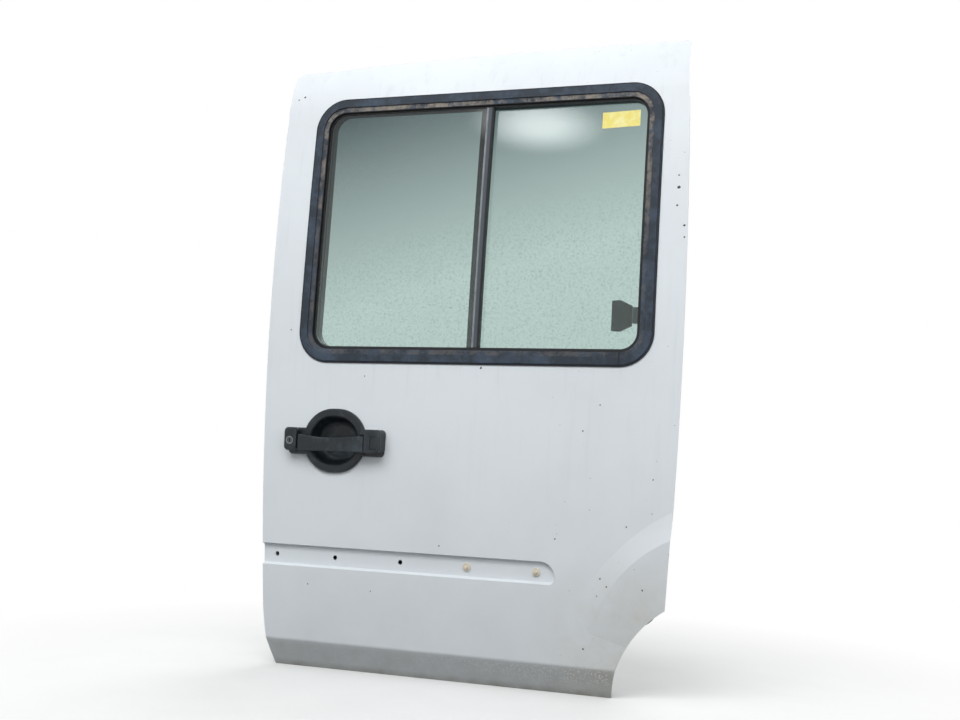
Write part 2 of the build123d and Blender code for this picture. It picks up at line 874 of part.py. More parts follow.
def draw_gusset(seat, plate_face, rise):
    with BuildLine() as web:
        inner_y = seat + arm_plate
        corner = (inner_y, plate_face)
        Polyline(corner, (inner_y + gusset_reach, plate_face), (inner_y, plate_face + rise), corner)
    make_face(web.line)


def upright_roller(x, y, low):
    with BuildPart() as roller:
        with BuildSketch(floor_plane(low)):
            with Locations((x, y)):
                Circle(roller_radius)
                Circle(stud_radius + roller_seat, mode=Mode.SUBTRACT)
        extrude(amount=roller_height)
    return roller.part


def upright_stud(x, y, low):
    with BuildPart() as stud:
        with BuildSketch(floor_plane(low)):
            draw_dot(x, y, stud_radius)
        extrude(amount=roller_height + 2 * roller_gap)
        with BuildSketch(floor_plane(low + roller_height + 2 * roller_gap)):
            draw_dot(x, y, stud_head_radius)
        extrude(amount=stud_head)
    return stud.part


# Lower arm, with a guide roller and a load roller
seat_low = lower_depth + seat_gap
foot_top = arm_foot_height + arm_plate
foot_bracket = bracket(
    arm_x, arm_width, arm_flange_width, arm_foot_height, arm_flange_high, arm_foot_height, seat_low, arm_reach
)
with BuildPart() as lower_arm:
    add(foot_bracket)
    for edge_x in (arm_x - arm_width / 2, arm_x + arm_width / 2 - gusset_thickness):
        with BuildSketch(side_plane(edge_x)):
            draw_gusset(seat_low, foot_top, gusset_rise)
        extrude(amount=gusset_thickness)
    add(upright_stud(guide_x, guide_y, foot_top))
    with BuildSketch(floor_plane(foot_top)):
        draw_box(load_x - load_tab_width / 2, load_x + load_tab_width / 2, load_y - load_tab, load_y)
    extrude(amount=load_z + load_tab_over - foot_top)
    with BuildSketch(front_plane(load_y)):
        draw_dot(load_x, load_z, stud_radius)
    extrude(amount=-roller_height - 2 * roller_gap)
    with BuildSketch(front_plane(load_y + roller_height + 2 * roller_gap)):
        draw_dot(load_x, load_z, stud_head_radius)
    extrude(amount=-stud_head)
lower_arm.part.label = "lower_arm"
export_step(lower_arm.part, "parts/lower_arm.step")

lower_guide_roller = upright_roller(guide_x, guide_y, foot_top + roller_gap)
lower_guide_roller.label = "lower_guide_roller"
export_step(lower_guide_roller, "parts/lower_guide_roller.step")

with BuildPart() as lower_load_roller:
    with BuildSketch(front_plane(load_y + roller_gap)):
        with Locations((load_x, load_z)):
            Circle(roller_radius)
            Circle(stud_radius + roller_seat, mode=Mode.SUBTRACT)
    extrude(amount=-roller_height)
lower_load_roller.part.label = "lower_load_roller"
export_step(lower_load_roller.part, "parts/lower_load_roller.step")

# Upper arm
top_seat = top_depth + seat_gap
top_plate = top_arm_high - arm_plate
top_bracket = bracket(
    top_arm_x, top_arm_tongue, top_arm_width, top_arm_low, top_arm_high, top_plate, top_seat, top_arm_reach
)
with BuildPart() as upper_arm:
    add(top_bracket)
    add(upright_stud(top_arm_x, top_roller_y, top_arm_high))
upper_arm.part.label = "upper_arm"
export_step(upper_arm.part, "parts/upper_arm.step")

upper_roller = upright_roller(top_arm_x, top_roller_y, top_arm_high + roller_gap)
upper_roller.label = "upper_roller"
export_step(upper_roller, "parts/upper_roller.step")

# Centre arm with two guide rollers
centre_plate = centre_arm_top - arm_plate
centre_front_x = centre_arm_x - centre_roller_spread / 2
centre_rear_x = centre_arm_x + centre_roller_spread / 2
waist_bracket = bracket(
    centre_arm_x,
    centre_arm_tongue,
    centre_arm_width,
    centre_arm_low,
    centre_arm_high,
    centre_plate,
    seat_low,
    centre_arm_reach,
)
with BuildPart() as centre_arm:
    add(waist_bracket)
    with BuildSketch(side_plane(centre_arm_x - gusset_thickness / 2)):
        draw_gusset(seat_low, centre_plate, centre_arm_low - centre_plate)
    extrude(amount=gusset_thickness)
    add(upright_stud(centre_front_x, centre_roller_y, centre_arm_top))
    add(upright_stud(centre_rear_x, centre_roller_y, centre_arm_top))
centre_arm.part.label = "centre_arm"
export_step(centre_arm.part, "parts/centre_arm.step")

centre_front_roller = upright_roller(centre_front_x, centre_roller_y, centre_arm_top + roller_gap)
centre_front_roller.label = "centre_front_roller"
export_step(centre_front_roller, "parts/centre_front_roller.step")

centre_rear_roller = upright_roller(centre_rear_x, centre_roller_y, centre_arm_top + roller_gap)
centre_rear_roller.label = "centre_rear_roller"
export_step(centre_rear_roller, "parts/centre_rear_roller.step")

# The space inside the inner panel's walls, which edge hardware stops short of
with BuildPart() as wall_core:
    with BuildSketch(front_plane(-spare)):
        draw_outline(panel_inset - seat_gap)
    extrude(amount=-cut_depth)


def edge_latch(x, length):
    with BuildPart() as case:
        with BuildSketch(side_plane(x)):
            with Locations((edge_y, edge_latch_z)):
                RectangleRounded(edge_latch_width, edge_latch_height, edge_latch_corner)
            with Locations((edge_y - edge_latch_width / 2 + claw_reach / 2, edge_latch_z)):
                Rectangle(claw_reach, claw_slot, mode=Mode.SUBTRACT)
        extrude(amount=length)
        add(wall_core.part, mode=Mode.SUBTRACT)
    return case.part


def edge_stub(x, z, radius, length, step):
    with BuildPart() as stub:
        with BuildSketch(side_plane(x)):
            draw_dot(edge_y, z, radius)
        extrude(amount=length)
        with BuildSketch(front_plane(-spare)):
            draw_outline(step)
        extrude(amount=-cut_depth, mode=Mode.INTERSECT)
        add(wall_core.part, mode=Mode.SUBTRACT)
    return stub.part


front_latch = edge_latch(front_latch_face, stub_length)
front_latch.label = "front_latch"
export_step(front_latch, "parts/front_latch.step")

rear_latch = edge_latch(rear_latch_face, -stub_length)
rear_latch.label = "rear_latch"
export_step(rear_latch, "parts/rear_latch.step")

lower_dowel = edge_stub(front_x, dowel_heights[0], dowel_radius, stub_length, dowel_step)
lower_dowel.label = "lower_dowel"
export_step(lower_dowel, "parts/lower_dowel.step")

upper_dowel = edge_stub(front_x, dowel_heights[1], dowel_radius, stub_length, dowel_step)
upper_dowel.label = "upper_dowel"
export_step(upper_dowel, "parts/upper_dowel.step")

lower_buffer = edge_stub(rear_x, buffer_heights[0], buffer_radius, -stub_length, buffer_step)
lower_buffer.label = "lower_buffer"
export_step(lower_buffer, "parts/lower_buffer.step")

upper_buffer = edge_stub(rear_x, buffer_heights[1], buffer_radius, -stub_length, buffer_step)
upper_buffer.label = "upper_buffer"
export_step(upper_buffer, "parts/upper_buffer.step")
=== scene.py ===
import json
import math

import bmesh
import bpy
from mathutils import Matrix, Vector


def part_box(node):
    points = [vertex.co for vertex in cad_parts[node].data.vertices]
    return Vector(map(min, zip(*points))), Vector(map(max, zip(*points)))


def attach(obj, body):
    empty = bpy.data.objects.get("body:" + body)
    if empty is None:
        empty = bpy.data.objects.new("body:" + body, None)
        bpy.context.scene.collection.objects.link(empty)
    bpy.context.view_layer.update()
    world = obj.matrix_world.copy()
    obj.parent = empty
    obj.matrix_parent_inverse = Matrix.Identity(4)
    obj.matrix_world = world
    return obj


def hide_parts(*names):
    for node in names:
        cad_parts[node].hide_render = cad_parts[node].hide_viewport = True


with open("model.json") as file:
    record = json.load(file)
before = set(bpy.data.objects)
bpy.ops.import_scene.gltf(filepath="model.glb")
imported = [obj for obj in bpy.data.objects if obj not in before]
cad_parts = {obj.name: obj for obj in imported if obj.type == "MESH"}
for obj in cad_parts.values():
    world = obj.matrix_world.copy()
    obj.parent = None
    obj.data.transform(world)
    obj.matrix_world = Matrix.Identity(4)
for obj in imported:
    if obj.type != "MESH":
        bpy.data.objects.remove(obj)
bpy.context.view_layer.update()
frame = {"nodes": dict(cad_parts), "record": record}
nodes = frame["nodes"]
scene = bpy.context.scene
scene.view_settings.view_transform = "Standard"
print("frame loaded,", len(nodes), "nodes")


def linear(hexColour):  # sRGB hex to the linear values that sockets take
    values = [int(hexColour[i:i + 2], 16) / 255 for i in (1, 3, 5)]
    return [v / 12.92 if v <= 0.04045 else ((v + 0.055) / 1.055) ** 2.4 for v in values] + [1.0]


def perMetre(millimetres):  # pattern scale from the real size of one cell
    return 1000 / millimetres


def doorPoint(x, y, z):  # millimetres on the door, from mid width, in from the skin, up from the sill
    return Vector(((x + 330) / 1000, (y - 150) / 1000, (z - 60) / 1000))


def skinDepth(z):  # how far the bowed side lies behind its foremost line
    return 8000 - math.sqrt(8000 ** 2 - (z - 270) ** 2)


def add(tree, kind, links=None, out=0, **settings):  # one node with its settings and links, gives an output
    node = tree.nodes.new("ShaderNode" + kind)
    for name, value in settings.items():
        setattr(node, name, value)
    for name, value in (links or {}).items():
        if isinstance(value, bpy.types.NodeSocket):
            tree.links.new(value, node.inputs[name])
        else:
            node.inputs[name].default_value = value
    return node if out is None else node.outputs[out]


def emptyMaterial(name):
    made = bpy.data.materials.new(name)
    made.use_nodes = True
    made.node_tree.nodes.clear()
    return made, made.node_tree


def startMaterial(name, sockets):  # tree, shader, and the place on the door in metres
    made, tree = emptyMaterial(name)
    shader = add(tree, "BsdfPrincipled", sockets, None)
    add(tree, "OutputMaterial", {"Surface": shader.outputs[0]}, None)
    return made, tree, shader, add(tree, "TexCoord", out="Object")


def patches(tree, place, sizeMm, low, high, start=0.0, end=1.0, detail=4.0, rough=0.6):  # cloudy mask
    links = {"Vector": place, "Scale": perMetre(sizeMm), "Detail": detail, "Roughness": rough}
    noise = add(tree, "TexNoise", links)
    return add(tree, "MapRange", {0: noise, 1: low, 2: high, 3: start, 4: end})


def relief(tree, shader, height, strength, depth, softEdge=0.0):  # bump, softEdge in metres
    links = {"Height": height, "Strength": strength, "Distance": depth}
    if softEdge:
        links["Normal"] = add(tree, "Bevel", {"Radius": softEdge}, samples=4)
    tree.links.new(add(tree, "Bump", links), shader.inputs["Normal"])


def windowInset(tree, place):  # metres in from the gasket's outer edge, which is a rounded rectangle
    half, corner, centre = (0.380, 0.285), 0.068, doorPoint(11, 0, 916)
    axes = add(tree, "SeparateXYZ", {0: place}, None).outputs
    past = []
    for axis, middle, size in ((axes[0], centre.x, half[0]), (axes[2], centre.z, half[1])):
        off = add(tree, "Math", {0: axis, 1: middle}, operation="SUBTRACT")
        off = add(tree, "Math", {0: off}, operation="ABSOLUTE")
        past.append(add(tree, "Math", {0: off, 1: size - corner}, operation="SUBTRACT"))
    most = add(tree, "Math", {0: past[0], 1: past[1]}, operation="MAXIMUM")
    most = add(tree, "Math", {0: most, 1: 0.0}, operation="MINIMUM")
    bend = add(tree, "CombineXYZ", {
        0: add(tree, "Math", {0: past[0], 1: 0.0}, operation="MAXIMUM"),
        1: add(tree, "Math", {0: past[1], 1: 0.0}, operation="MAXIMUM"),
    })
    bend = add(tree, "VectorMath", {0: bend}, "Value", operation="LENGTH")
    reach = add(tree, "Math", {0: most, 1: bend}, operation="ADD")
    return add(tree, "Math", {0: corner, 1: reach}, operation="SUBTRACT")


# White baked enamel on pressed steel: glossy cool white with faint orange peel, rain streaks under the
# window, a grey film that darkens the paint towards the bottom and is partly painted shade on the tucked
# band, warm grime by the wheel arch, dried soil on the sill hem, salt and rust specks, and chips through to
# dark primer
paintLook = {
    "clean": "#e2e9ee", "shade": "#dbe1e6", "filmAndPaintedLight": "#abaeaa", "soil": "#77705c",
    "rust": "#8a6f55", "grime": "#bdb8a8", "chip": "#2f2a28", "salt": "#f2f1ec",
    "peelMm": 4.0, "cloudMm": 320.0, "streakMm": 16.0, "streakDraw": 0.06, "mottleMm": 26.0, "sprayMm": 60.0,
    "soilMm": 45.0, "saltMm": 5.0, "rustMm": 16.0, "raggedMm": 3.0, "raggedBy": 0.004,
    "archCentre": (552, 58),
    "chips": [  # door x and z, radius, all in mm
        (426, 983, 2.8), (424, 947, 1.8), (425, 1007, 1.8), (440, 907, 2.2), (441, 884, 1.8),
        (258, 506, 1.6), (290, 557, 1.4), (42, 625, 2.4), (350, 327, 1.5), (302, 226, 1.7),
        (316, 212, 1.6), (386, 211, 1.6), (273, 91, 1.8), (297, 193, 1.2), (399, 418, 1.3),
        (399, 354, 1.2), (-422, 1207, 1.6), (-408, 1213, 2.0), (-30, 268, 1.6), (-318, 172, 1.2),
        (-176, 168, 1.2), (-212, 604, 1.4), (210, 296, 1.2), (-390, 700, 1.4),
    ],
}


def makePaint():
    look = paintLook
    sockets = {"IOR": 1.5, "Coat Weight": 0.25, "Coat Roughness": 0.12}
    made, tree, shader, place = startMaterial("white baked enamel", sockets)
    axes = add(tree, "SeparateXYZ", {0: place}, None).outputs
    cloud = patches(tree, place, look["cloudMm"], 0.42, 0.7)
    shades = {0: cloud, 6: linear(look["clean"]), 7: linear(look["shade"])}
    tone = add(tree, "Mix", shades, 2, data_type="RGBA")
    stretched = add(tree, "Mapping", {"Vector": place, "Scale": (1.0, 1.0, look["streakDraw"])})
    streaks = patches(tree, stretched, look["streakMm"], 0.55, 0.78, 0.0, 0.14, 3.0)
    under = add(tree, "MapRange", {0: axes[2], 1: 0.2, 2: 0.56})
    streaks = add(tree, "Math", {0: streaks, 1: under}, operation="MULTIPLY")
    tone = add(tree, "Mix", {0: streaks, 6: tone, 7: linear(look["filmAndPaintedLight"])}, 2, data_type="RGBA")
    # grey film, darker towards the bottom: a veil up to the recess, and heavy on the tucked band, where it is
    # partly road film and partly painted shade of the band that faces down
    veil = add(tree, "MapRange", {0: axes[2], 1: 0.20, 2: -0.04, 3: 0.0, 4: 0.22})
    band = add(tree, "MapRange", {0: axes[2], 1: 0.002, 2: -0.014})
    filmAndPaintedLight = add(tree, "Math", {0: veil, 1: band}, operation="MAXIMUM")
    mottle = patches(tree, place, look["mottleMm"], 0.3, 0.75, 0.30, 0.56, 5.0, 0.7)
    filmAndPaintedLight = add(tree, "Math", {0: filmAndPaintedLight, 1: mottle}, operation="MULTIPLY")
    tone = add(tree, "Mix", {0: filmAndPaintedLight, 6: tone, 7: linear(look["filmAndPaintedLight"])}, 2, data_type="RGBA")
    # warm grime thrown round the wheel arch
    hub = doorPoint(look["archCentre"][0], 0, look["archCentre"][1])
    level = add(tree, "VectorMath", {0: place, 1: (1.0, 0.0, 1.0)}, operation="MULTIPLY")
    reach = add(tree, "VectorMath", {0: level, 1: (hub.x, 0.0, hub.z)}, "Value", operation="DISTANCE")
    thrown = add(tree, "MapRange", {0: reach, 1: 0.40, 2: 0.27, 3: 0.0, 4: 0.5})
    sprayed = patches(tree, place, look["sprayMm"], 0.3, 0.75, 0.25, 1.0, 5.0, 0.65)
    lowDown = add(tree, "MapRange", {0: axes[2], 1: 0.24, 2: 0.10})
    sprayed = add(tree, "Math", {0: sprayed, 1: thrown}, operation="MULTIPLY")
    sprayed = add(tree, "Math", {0: sprayed, 1: lowDown}, operation="MULTIPLY")
    tone = add(tree, "Mix", {0: sprayed, 6: tone, 7: linear(look["grime"])}, 2, data_type="RGBA")
    # dried soil on the hem
    hem = add(tree, "MapRange", {0: axes[2], 1: -0.046, 2: -0.060})
    clods = patches(tree, place, look["soilMm"], 0.3, 0.7, 0.1, 0.7, 4.0, 0.6)
    soil = add(tree, "Math", {0: hem, 1: clods}, operation="MULTIPLY")
    tone = add(tree, "Mix", {0: soil, 6: tone, 7: linear(look["soil"])}, 2, data_type="RGBA")
    # salt specks on the band, thicker towards the wheel
    cells = add(tree, "TexVoronoi", {"Vector": place, "Scale": perMetre(look["saltMm"])})
    dots = add(tree, "MapRange", {0: cells, 1: 0.42, 2: 0.22})
    rear = add(tree, "MapRange", {0: axes[0], 1: 0.2, 2: 0.62, 3: 0.08, 4: 1.0})
    upper = add(tree, "MapRange", {0: axes[2], 1: -0.045, 2: -0.020, 3: 0.1, 4: 1.0})
    salt = add(tree, "Math", {0: rear, 1: upper}, operation="MULTIPLY")
    salt = add(tree, "Math", {0: salt, 1: band}, operation="MULTIPLY")
    salt = add(tree, "Math", {0: salt, 1: dots}, operation="MULTIPLY")
    tone = add(tree, "Mix", {0: salt, 6: tone, 7: linear(look["salt"])}, 2, data_type="RGBA")
    # rust dust, a thin scatter of specks towards the rear edge
    cells = add(tree, "TexVoronoi", {"Vector": place, "Scale": perMetre(look["rustMm"])}, None).outputs
    speck = add(tree, "MapRange", {0: cells[0], 1: 0.075, 2: 0.045})
    some = add(tree, "MapRange", {0: add(tree, "SeparateColor", {0: cells[1]}), 1: 0.70, 2: 0.74})
    where = add(tree, "MapRange", {0: axes[0], 1: 0.42, 2: 0.62, 3: 0.05, 4: 0.8})
    speck = add(tree, "Math", {0: speck, 1: some}, operation="MULTIPLY")
    speck = add(tree, "Math", {0: speck, 1: where}, operation="MULTIPLY")
    tone = add(tree, "Mix", {0: speck, 6: tone, 7: linear(look["rust"])}, 2, data_type="RGBA")
    # chips, each a ragged spot
    ragged = add(tree, "TexNoise", {"Vector": place, "Scale": perMetre(look["raggedMm"])}, "Color")
    shift = look["raggedBy"]
    spread = {0: ragged, 1: (shift, shift, shift), 2: place}
    flat = add(tree, "VectorMath", spread, operation="MULTIPLY_ADD")
    flat = add(tree, "VectorMath", {0: flat, 1: (1.0, 0.0, 1.0)}, operation="MULTIPLY")
    nearest = 9.0
    for x, z, radius in look["chips"]:
        spot = doorPoint(x, 0, z)
        centre = (spot.x + shift / 2, 0.0, spot.z + shift / 2)
        away = add(tree, "VectorMath", {0: flat, 1: centre}, "Value", operation="DISTANCE")
        away = add(tree, "Math", {0: away, 1: radius / 1000}, operation="DIVIDE")
        nearest = add(tree, "Math", {0: away, 1: nearest}, operation="MINIMUM")
    chipped = add(tree, "MapRange", {0: nearest, 1: 1.15, 2: 0.9})
    tone = add(tree, "Mix", {0: chipped, 6: tone, 7: linear(look["chip"])}, 2, data_type="RGBA")
    tree.links.new(tone, shader.inputs["Base Color"])
    dull = add(tree, "Math", {0: filmAndPaintedLight, 1: chipped}, operation="MAXIMUM")
    rough = add(tree, "MapRange", {0: dull, 1: 0.0, 2: 0.6, 3: 0.3, 4: 0.6})
    tree.links.new(rough, shader.inputs["Roughness"])
    peel = add(tree, "TexNoise", {"Vector": place, "Scale": perMetre(look["peelMm"]), "Detail": 1.0})
    peel = add(tree, "Math", {0: peel, 1: 0.3}, operation="MULTIPLY")
    relief(tree, shader, add(tree, "Math", {0: peel, 1: chipped}, operation="SUBTRACT"), 0.12, 0.0006)
    return made


# EPDM rubber, extruded and vulcanised: dull blue-black, chalked by weather, with grey-brown dust held on its
# inner step, most of all along the top, and painted shade along its inner bead and outer edge. Its fine grain
# is drawn at 3 mm so that it shows
rubberLook = {
    "rubber": "#27303a", "chalk": "#526072", "dust": "#8d857b", "groove": "#12161b",
    "seam": 324, "grainMm": 3.0, "chalkMm": 42.0, "dustMm": 38.0,
}


def makeRubber(name, chalky, dusty):
    look = rubberLook
    made, tree, shader, place = startMaterial(name, {"IOR": 1.5, "Specular IOR Level": 0.35})
    axes = add(tree, "SeparateXYZ", {0: place}, None).outputs
    inset = windowInset(tree, place)
    chalk = patches(tree, place, look["chalkMm"], 0.45, 0.75, 0.0, chalky, 5.0, 0.65)
    shades = {0: chalk, 6: linear(look["rubber"]), 7: linear(look["chalk"])}
    tone = add(tree, "Mix", shades, 2, data_type="RGBA")
    step = add(tree, "MapRange", {0: inset, 1: 0.0185, 2: 0.0205})
    settled = patches(tree, place, look["dustMm"], 0.44, 0.6, 0.0, dusty, 7.0, 0.8)
    sheltered = add(tree, "MapRange", {0: axes[2], 1: 0.80, 2: 1.08, 3: 0.3, 4: 1.0})
    settled = add(tree, "Math", {0: settled, 1: step}, operation="MULTIPLY")
    settled = add(tree, "Math", {0: settled, 1: sheltered}, operation="MULTIPLY")
    tone = add(tree, "Mix", {0: settled, 6: tone, 7: linear(look["dust"])}, 2, data_type="RGBA")
    # painted shade keeps the inner bead and the outer edge dark, where the gasket meets the glass and the
    # paint;
    # the butt joint is a dark joint in the rubber
    off = add(tree, "Math", {0: axes[0], 1: doorPoint(look["seam"], 0, 0).x}, operation="SUBTRACT")
    off = add(tree, "Math", {0: off}, operation="ABSOLUTE")
    joint = add(tree, "MapRange", {0: off, 1: 0.0018, 2: 0.0008})
    lower = add(tree, "MapRange", {0: axes[2], 1: 0.62, 2: 0.61})
    joint = add(tree, "Math", {0: joint, 1: lower}, operation="MULTIPLY")
    beadPaintedLight = add(tree, "MapRange", {0: inset, 1: 0.0285, 2: 0.0295})
    edge = add(tree, "MapRange", {0: inset, 1: 0.003, 2: 0.001})
    dark = add(tree, "Math", {0: beadPaintedLight, 1: edge}, operation="MAXIMUM")
    dark = add(tree, "Math", {0: dark, 1: joint}, operation="MAXIMUM")
    tone = add(tree, "Mix", {0: dark, 6: tone, 7: linear(look["groove"])}, 2, data_type="RGBA")
    tree.links.new(tone, shader.inputs["Base Color"])
    rough = add(tree, "MapRange", {0: chalk, 1: 0.0, 2: 0.55, 3: 0.4, 4: 0.72})
    tree.links.new(rough, shader.inputs["Roughness"])
    fine = add(tree, "TexNoise", {"Vector": place, "Scale": perMetre(look["grainMm"]), "Detail": 3.0})
    relief(tree, shader, fine, 0.25, 0.0005, 0.0012)
    return made


# PVC division strip, extruded: satin grey-black, with a painted highlight, a pale line broken up by wear,
# along one side, and a black line along the other
stripLook = {"face": "#434b53", "paleTone": "#8d9396", "groove": "#0d1013", "wearMm": 22.0}


def makeDivision():
    look = stripLook
    sockets = {"IOR": 1.52, "Specular IOR Level": 0.4}
    made, tree, shader, place = startMaterial("extruded division strip", sockets)
    near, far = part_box("division_seal")
    across = add(tree, "MapRange", {0: add(tree, "SeparateXYZ", {0: place}), 1: near[0], 2: far[0]})
    worn = patches(tree, place, look["wearMm"], 0.3, 0.7, 0.45, 1.0, 4.0)
    # painted highlight: a pale line along the front third of the strip, broken up by the wear patches
    beadPaintedLight = add(tree, "MapRange", {0: across, 1: 0.30, 2: 0.18})
    beadPaintedLight = add(tree, "Math", {0: beadPaintedLight, 1: worn}, operation="MULTIPLY")
    shades = {0: beadPaintedLight, 6: linear(look["face"]), 7: linear(look["paleTone"])}
    tone = add(tree, "Mix", shades, 2, data_type="RGBA")
    groove = add(tree, "MapRange", {0: across, 1: 0.66, 2: 0.74})
    tone = add(tree, "Mix", {0: groove, 6: tone, 7: linear(look["groove"])}, 2, data_type="RGBA")
    tree.links.new(tone, shader.inputs["Base Color"])
    rough = add(tree, "MapRange", {0: worn, 1: 0.45, 2: 1.0, 3: 0.34, 4: 0.5})
    tree.links.new(rough, shader.inputs["Roughness"])
    relief(tree, shader, worn, 0.1, 0.0004, 0.0008)
    return made


# Toughened float glass with a body tint: clear grey-green, with painted reflection of dark surroundings that
# deepens it towards the top front corner, spotted by dried rain, and under a thin film, partly dust and
# partly painted reflection, that lies thicker towards the sill
glassLook = {
    "tint": "#b6cdc8", "deep": "#34494d", "spot": "#8fa9a2", "dust": "#cbd3cc", "dropMm": 5.0, "filmAndLightMm": 70.0,
}


def makeGlass():
    look = glassLook
    made, tree, shader, place = startMaterial("tinted float glass", {"IOR": 1.52})
    axes = add(tree, "SeparateXYZ", {0: place}, None).outputs
    # painted reflection: the tone deepens towards the top and the front, for dark surroundings mirrored in
    # the panes
    height = add(tree, "MapRange", {0: axes[2], 1: 0.60, 2: 1.12})
    across = add(tree, "MapRange", {0: axes[0], 1: 0.0, 2: 0.7, 3: 0.24, 4: -0.12})
    clear = add(tree, "Math", {0: height, 1: across}, operation="ADD")
    clear = add(tree, "MapRange", {0: clear, 1: 0.36, 2: 1.2})
    tone = add(tree, "Mix", {0: clear, 6: linear(look["tint"]), 7: linear(look["deep"])}, 2, data_type="RGBA")
    links = {"Vector": place, "Scale": perMetre(look["dropMm"]), "Detail": 4.0, "Roughness": 0.7}
    drops = add(tree, "TexNoise", links)
    spots = add(tree, "MapRange", {0: drops, 1: 0.52, 2: 0.64})
    low = add(tree, "MapRange", {0: height, 1: 0.8, 2: 0.45, 3: 0.12, 4: 0.85})
    spots = add(tree, "Math", {0: spots, 1: low}, operation="MULTIPLY")
    tone = add(tree, "Mix", {0: spots, 6: tone, 7: linear(look["spot"])}, 2, data_type="RGBA")
    # a film that is partly dust and partly painted reflection, thicker towards the sill so that the lower
    # panes read paler
    filmAndPaintedLight = patches(tree, place, look["filmAndLightMm"], 0.35, 0.7, 0.5, 1.0)
    thick = add(tree, "MapRange", {0: height, 1: 1.0, 2: 0.2, 3: 0.02, 4: 0.08})
    filmAndPaintedLight = add(tree, "Math", {0: filmAndPaintedLight, 1: thick}, operation="MULTIPLY")
    tone = add(tree, "Mix", {0: filmAndPaintedLight, 6: tone, 7: linear(look["dust"])}, 2, data_type="RGBA")
    tree.links.new(tone, shader.inputs["Base Color"])
    seeThrough = add(tree, "Math", {0: 1.0, 1: filmAndPaintedLight}, operation="SUBTRACT")
    tree.links.new(seeThrough, shader.inputs["Transmission Weight"])
    rough = add(tree, "MapRange", {0: filmAndPaintedLight, 1: 0.02, 2: 0.1, 3: 0.01, 4: 0.1})
    tree.links.new(rough, shader.inputs["Roughness"])
    relief(tree, shader, drops, 0.02, 0.0003)
    return made


# Plastics, injection moulded against a spark-eroded tool: an even leather grain, paler where hands and
# weather rub. The real grain is under 1 mm; it is drawn at 2 to 3 mm so that it shows
plasticLooks = {
    "grained black ABS": {
        "base": "#151c21", "rubbed": "#3d4a52", "grainMm": 2.4, "edge": 0.0016, "dusty": 0.15,
    },
    "black frame nylon": {
        "base": "#141517", "rubbed": "#26282b", "grainMm": 3.0, "edge": 0.0006, "dusty": 0.25,
    },
    "grained grey polypropylene": {
        "base": "#75787b", "rubbed": "#84878a", "grainMm": 3.2, "edge": 0.002, "dusty": 0.08,
    },
}
plasticWear = {"rubMm": 34.0, "speckMm": 5.0, "speck": "#6c675c"}


def makePlastic(name):
    look = plasticLooks[name]
    made, tree, shader, place = startMaterial(name, {"IOR": 1.49, "Specular IOR Level": 0.45})
    worn = patches(tree, place, plasticWear["rubMm"], 0.48, 0.74, 0.0, 0.7, 5.0, 0.65)
    shades = {0: worn, 6: linear(look["base"]), 7: linear(look["rubbed"])}
    tone = add(tree, "Mix", shades, 2, data_type="RGBA")
    specks = patches(tree, place, plasticWear["speckMm"], 0.62, 0.75, 0.0, look["dusty"], 3.0, 0.7)
    tone = add(tree, "Mix", {0: specks, 6: tone, 7: linear(plasticWear["speck"])}, 2, data_type="RGBA")
    tree.links.new(tone, shader.inputs["Base Color"])
    cells = add(tree, "TexVoronoi", {"Vector": place, "Scale": perMetre(look["grainMm"])})
    rough = add(tree, "MapRange", {0: cells, 1: 0.0, 2: 0.8, 3: 0.32, 4: 0.5})
    tree.links.new(rough, shader.inputs["Roughness"])
    relief(tree, shader, cells, 0.3, 0.0004, look["edge"])
    return made


# Zinc plate, passivated: a thin bright grey metal clouded by bloom and old grease, greyer on the lock ring,
# dull and dark on the key barrel. The pitting is far finer and is drawn at 2.5 mm so that it shows
zincLooks = {
    "zinc plated steel": {"zinc": "#b1b3b3", "bloom": "#8b8c8a", "dull": 0.28},
    "tumbled zinc casting": {"zinc": "#8b9092", "bloom": "#6d7274", "dull": 0.36},
    "dulled zinc casting": {"zinc": "#5d6062", "bloom": "#474a4c", "dull": 0.42},
}
zincWear = {"bloomMm": 18.0, "stainMm": 9.0, "stain": "#5f5443", "pitMm": 2.5}


def makeZinc(name):
    look = zincLooks[name]
    made, tree, shader, place = startMaterial(name, {"Metallic": 1.0})
    bloom = patches(tree, place, zincWear["bloomMm"], 0.4, 0.7, 0.0, 1.0, 5.0, 0.7)
    shades = {0: bloom, 6: linear(look["zinc"]), 7: linear(look["bloom"])}
    tone = add(tree, "Mix", shades, 2, data_type="RGBA")
    stain = patches(tree, place, zincWear["stainMm"], 0.64, 0.74, 0.0, 0.6, 4.0, 0.7)
    tone = add(tree, "Mix", {0: stain, 6: tone, 7: linear(zincWear["stain"])}, 2, data_type="RGBA")
    tree.links.new(tone, shader.inputs["Base Color"])
    rough = add(tree, "MapRange", {0: bloom, 1: 0.0, 2: 1.0, 3: look["dull"], 4: look["dull"] + 0.2})
    tree.links.new(rough, shader.inputs["Roughness"])
    fine = add(tree, "TexNoise", {"Vector": place, "Scale": perMetre(zincWear["pitMm"])})
    relief(tree, shader, fine, 0.15, 0.0003, 0.0006)
    return made


# Nylon 66, moulded: waxy and smooth, yellowed to cream on the clips and carbon black on the rollers. The
# skin's texture is far finer and is drawn at 2.5 mm so that it shows
nylonLooks = {"aged nylon": ("#e4ddcd", "#c8bba1"), "black nylon": ("#29292a", "#45423d")}
nylonSkin = {"cloudMm": 8.0, "textureMm": 2.5}


